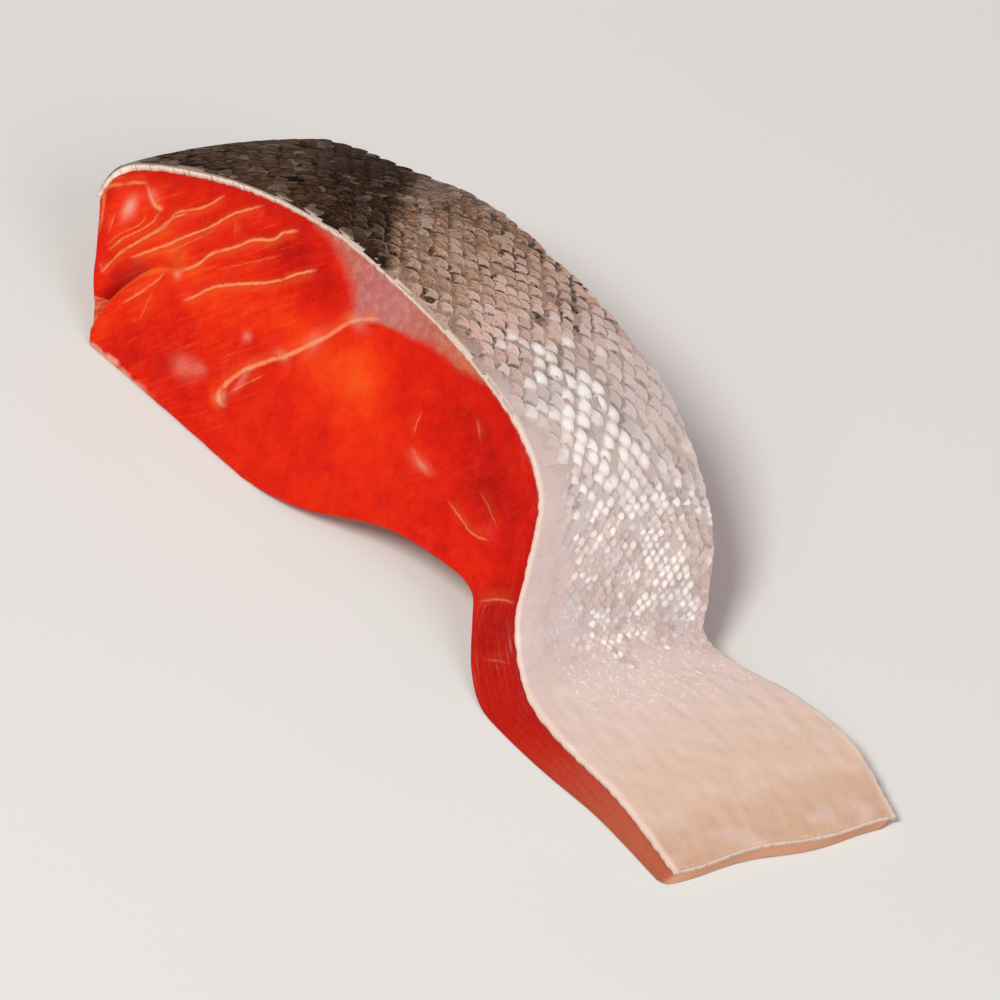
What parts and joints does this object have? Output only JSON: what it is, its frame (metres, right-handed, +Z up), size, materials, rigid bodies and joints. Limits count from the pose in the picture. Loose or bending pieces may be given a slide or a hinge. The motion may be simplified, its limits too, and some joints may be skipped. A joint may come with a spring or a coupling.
{
  "type": "raw salmon steak",
  "caption": "Raw salmon steak: a crosswise slice of a side with the skin on, lying skin up, with both cut faces leaning and a thin belly flap.",
  "frame": {"origin": "centre of the bounding box on the surface the steak lies on", "axes": "+X from the back of the fish to its belly, +Y from its head to its tail, +Z up"},
  "size_m": [0.1626, 0.0732, 0.0326],
  "materials": {
    "salmon": "wet raw salmon meat, orange red, under silver grey scaled skin"
  },
  "bodies": {
    "root": {"salmon_steak": "salmon"}
  },
  "joints": []
}
